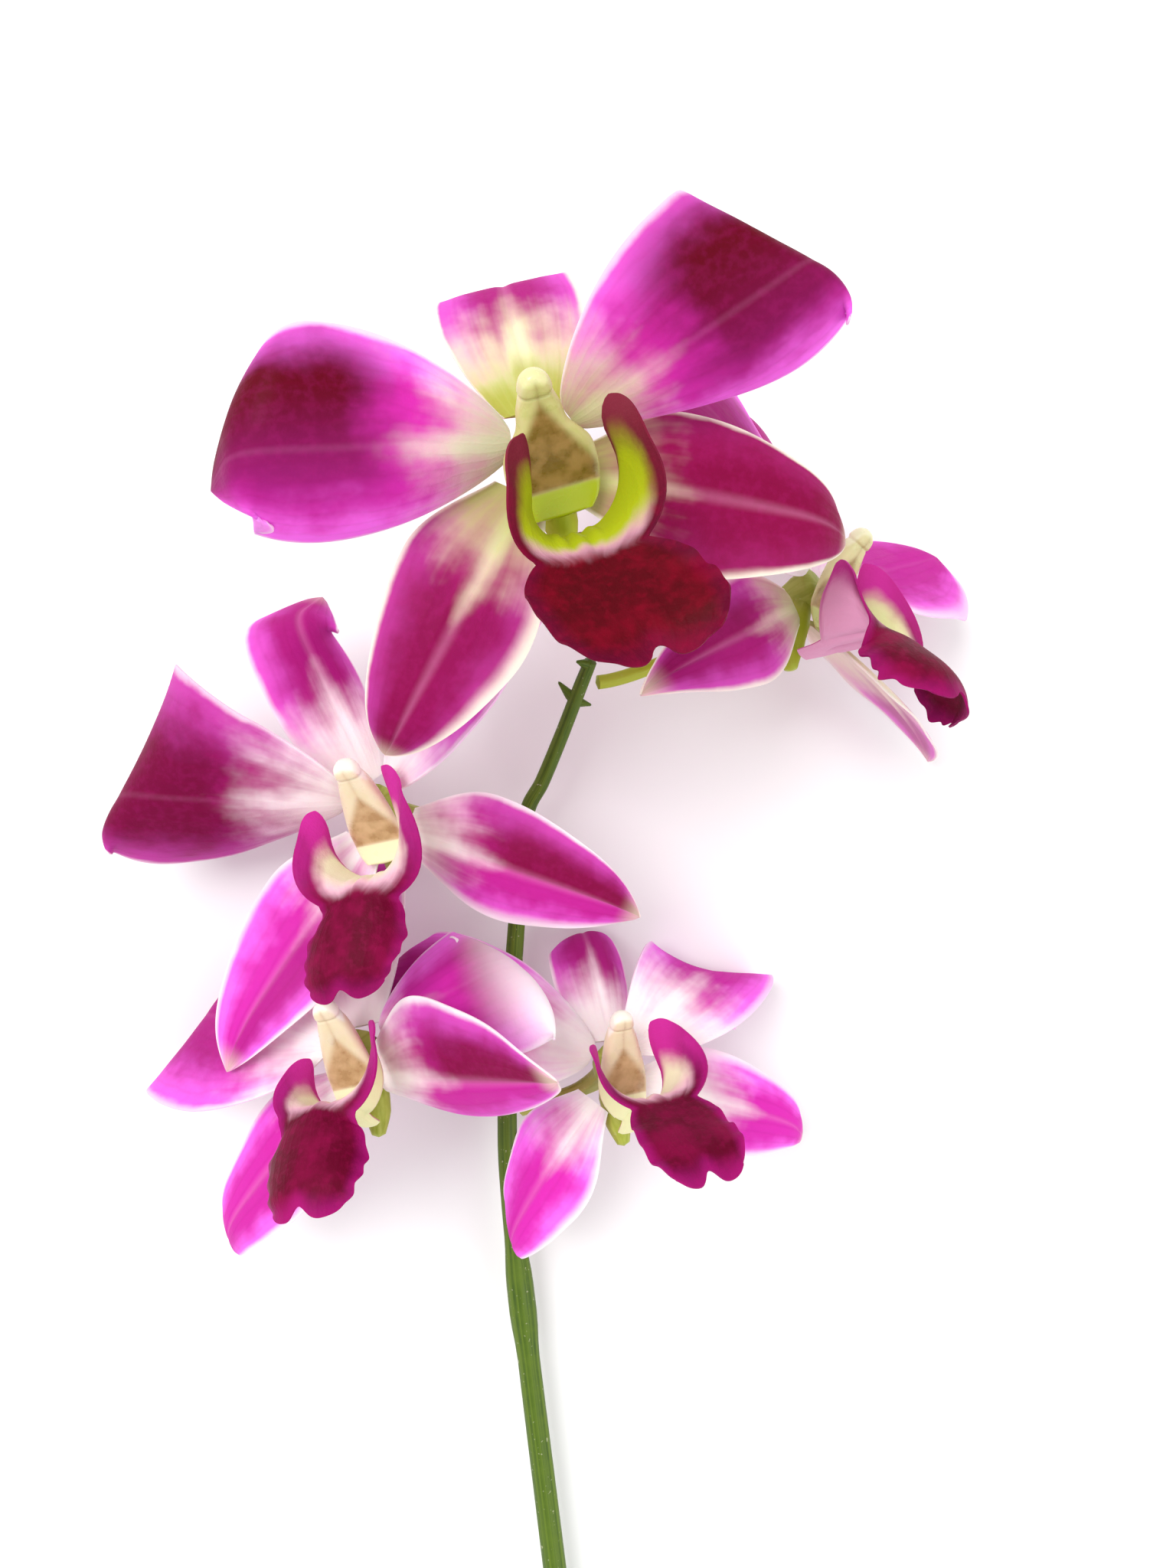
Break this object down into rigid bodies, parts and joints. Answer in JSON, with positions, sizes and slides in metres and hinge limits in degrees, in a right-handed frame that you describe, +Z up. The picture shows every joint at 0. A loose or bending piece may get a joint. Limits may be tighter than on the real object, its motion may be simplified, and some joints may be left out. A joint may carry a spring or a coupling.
{
  "type": "dendrobium orchid spray",
  "caption": "Cut dendrobium orchid stem lying on its back, its open magenta blooms with cream centres and burgundy lips gathered along the upper end.",
  "frame": {"origin": "middle of the underside of the bounding box of the lying spray", "axes": "+Y along the flower stem from its cut end towards the tip, +Z up from the surface that it lies on, towards the faces of the blooms, +X to the right seen from above"},
  "size_m": [0.133, 0.2592, 0.0768],
  "materials": {
    "stem_green": "satin",
    "stalk_pale_green": "satin",
    "sepal_magenta": "velvety",
    "petal_magenta": "velvety",
    "lip_burgundy": "velvety",
    "column_cream": "waxy"
  },
  "bodies": {
    "root": {"flower_stem": "stem_green", "bloom_1_stalk": "stalk_pale_green", "bloom_1_column": "column_cream", "bloom_1_dorsal_sepal": "sepal_magenta", "bloom_1_petal_left": "petal_magenta", "bloom_1_petal_right": "petal_magenta", "bloom_1_lateral_sepal_left": "sepal_magenta", "bloom_1_lateral_sepal_right": "sepal_magenta", "bloom_1_lip": "lip_burgundy", "bloom_2_stalk": "stalk_pale_green", "bloom_2_column": "column_cream", "bloom_2_dorsal_sepal": "sepal_magenta", "bloom_2_petal_left": "petal_magenta", "bloom_2_petal_right": "petal_magenta", "bloom_2_lateral_sepal_left": "sepal_magenta", "bloom_2_lateral_sepal_right": "sepal_magenta", "bloom_2_lip": "lip_burgundy", "bloom_3_stalk": "stalk_pale_green", "bloom_3_column": "column_cream", "bloom_3_dorsal_sepal": "sepal_magenta", "bloom_3_petal_left": "petal_magenta", "bloom_3_petal_right": "petal_magenta", "bloom_3_lateral_sepal_left": "sepal_magenta", "bloom_3_lateral_sepal_right": "sepal_magenta", "bloom_3_lip": "lip_burgundy", "bloom_4_stalk": "stalk_pale_green", "bloom_4_column": "column_cream", "bloom_4_dorsal_sepal": "sepal_magenta", "bloom_4_petal_left": "petal_magenta", "bloom_4_petal_right": "petal_magenta", "bloom_4_lateral_sepal_left": "sepal_magenta", "bloom_4_lateral_sepal_right": "sepal_magenta", "bloom_4_lip": "lip_burgundy", "bloom_5_stalk": "stalk_pale_green", "bloom_5_column": "column_cream", "bloom_5_dorsal_sepal": "sepal_magenta", "bloom_5_petal_left": "petal_magenta", "bloom_5_petal_right": "petal_magenta", "bloom_5_lateral_sepal_left": "sepal_magenta", "bloom_5_lateral_sepal_right": "sepal_magenta", "bloom_5_lip": "lip_burgundy"}
  },
  "joints": []
}
